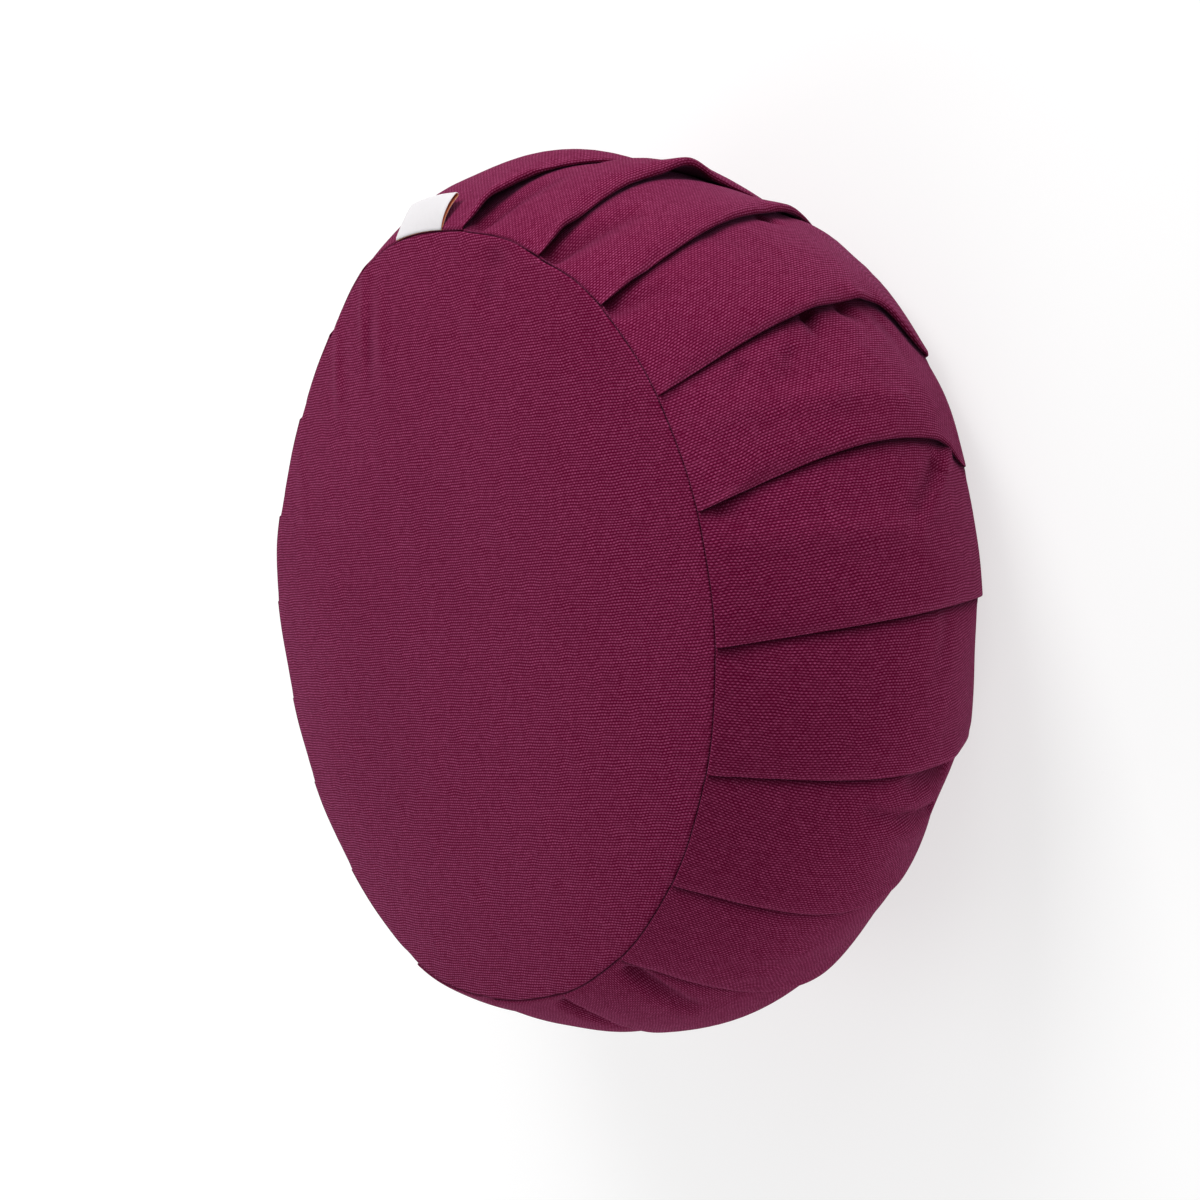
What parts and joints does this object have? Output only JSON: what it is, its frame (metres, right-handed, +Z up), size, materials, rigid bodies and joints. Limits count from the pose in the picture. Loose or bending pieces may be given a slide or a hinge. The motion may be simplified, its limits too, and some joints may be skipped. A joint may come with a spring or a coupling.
{
  "type": "zafu meditation cushion",
  "caption": "Round, firmly filled floor cushion with a knife-pleated side band between two round canvas panels and a blank folded label in its top seam.",
  "frame": {"origin": "on the surface the cushion lies on, under the middle of its base", "axes": "+Z up through the middle of the top panel, +X towards the label in the top seam"},
  "size_m": [0.335, 0.3322, 0.1419],
  "materials": {
    "canvas": "plain-woven cotton canvas, dyed burgundy, matt with a soft sheen",
    "label": "finely woven white ribbon, left blank"
  },
  "bodies": {
    "root": {"pleated_band": "canvas", "top_panel": "canvas", "base_panel": "canvas", "label_tab": "label"}
  },
  "joints": []
}
